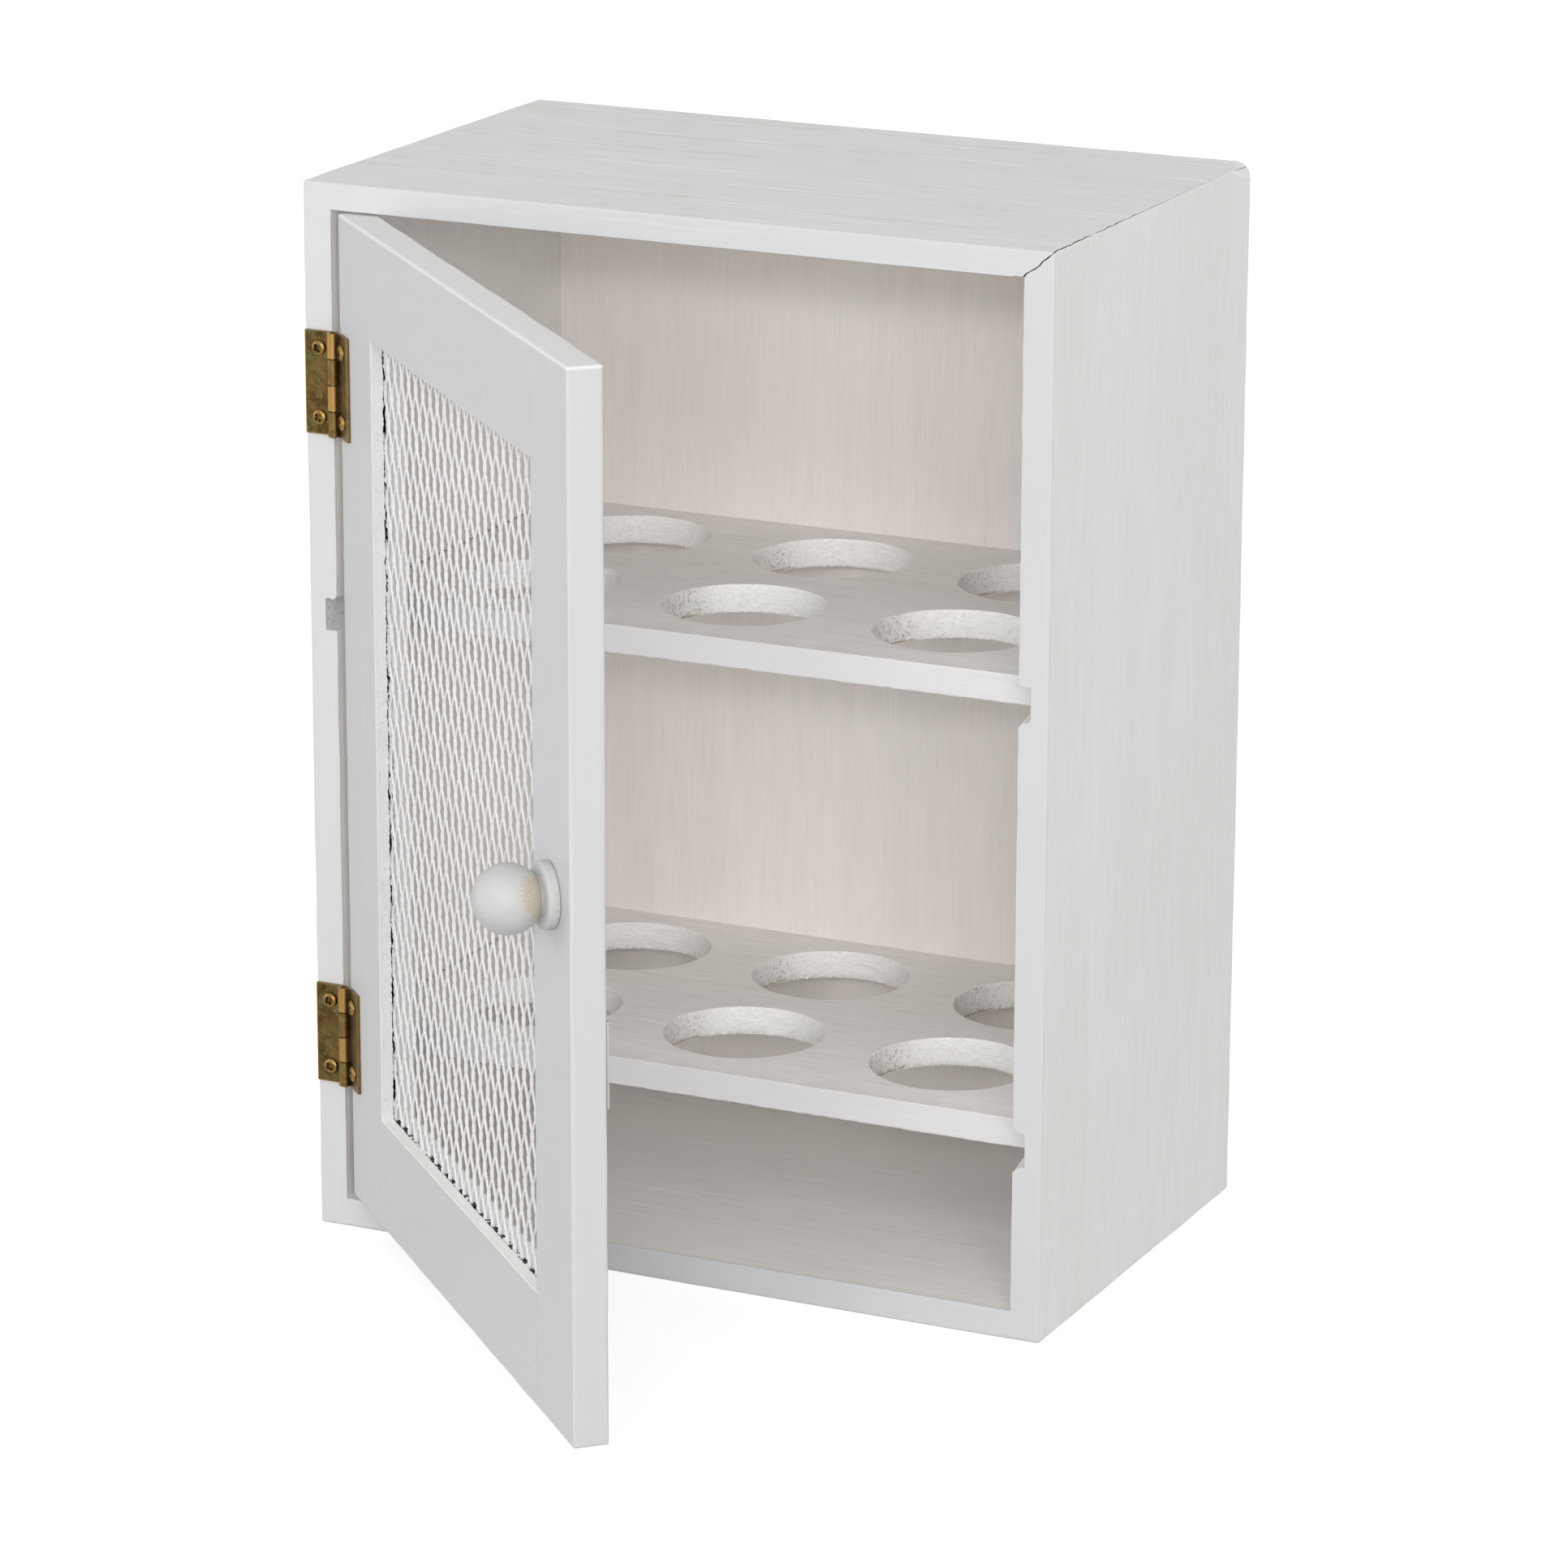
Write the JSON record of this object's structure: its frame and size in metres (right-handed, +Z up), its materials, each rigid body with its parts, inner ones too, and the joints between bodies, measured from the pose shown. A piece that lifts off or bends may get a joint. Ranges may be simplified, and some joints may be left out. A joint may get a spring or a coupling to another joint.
{
  "type": "egg cupboard",
  "caption": "Small painted wooden cupboard with bored shelves that hold eggs and a hinged, mesh-panelled door with a round knob.",
  "frame": {"origin": "centre of the flat underside of the cabinet, where it stands", "axes": "+Z up, +X to the right as seen from the front, -Y out of the open front; the door's hinge is on the -X side"},
  "size_m": [0.192, 0.2497, 0.26],
  "materials": {
    "cabinet_paint": "brushed off-white paint over wood",
    "door_paint": "brushed off-white paint over wood",
    "shelf_paint": "brushed off-white paint, rough end grain in the holes",
    "back_plywood": "thinly washed plywood",
    "bare_wood": "bare",
    "mesh_paint": "off-white paint over expanded metal",
    "hinge_brass": "antiqued",
    "steel": "plated",
    "catch_plastic": "white",
    "magnet": "dark ferrite"
  },
  "bodies": {
    "cabinet": {"top_board": "cabinet_paint", "bottom_board": "cabinet_paint", "left_side": "cabinet_paint", "right_side": "cabinet_paint", "back_panel": "back_plywood", "back_nails": "steel", "upper_shelf": "shelf_paint", "lower_shelf": "shelf_paint", "catch_housing": "catch_plastic", "catch_magnet": "magnet", "catch_screws": "steel", "upper_frame_leaf": "hinge_brass", "lower_frame_leaf": "hinge_brass", "upper_hinge_pin": "hinge_brass", "lower_hinge_pin": "hinge_brass", "frame_leaf_screws": "hinge_brass"},
    "door": {"hinge_stile": "door_paint", "free_stile": "door_paint", "door_top_rail": "door_paint", "door_bottom_rail": "door_paint", "door_dowels": "bare_wood", "door_mesh": "mesh_paint", "knob": "door_paint", "knob_screw": "steel", "upper_door_leaf": "hinge_brass", "lower_door_leaf": "hinge_brass", "door_leaf_screws": "hinge_brass", "strike_plate": "steel", "strike_screw": "steel"}
  },
  "joints": [
    {"name": "door_swing", "type": "hinge", "parent": "cabinet", "child": "door", "pos_m": [-0.0876, -0.06175, 0.13], "axis": [0, 0, -1], "range_deg": [-45, 130]}
  ]
}
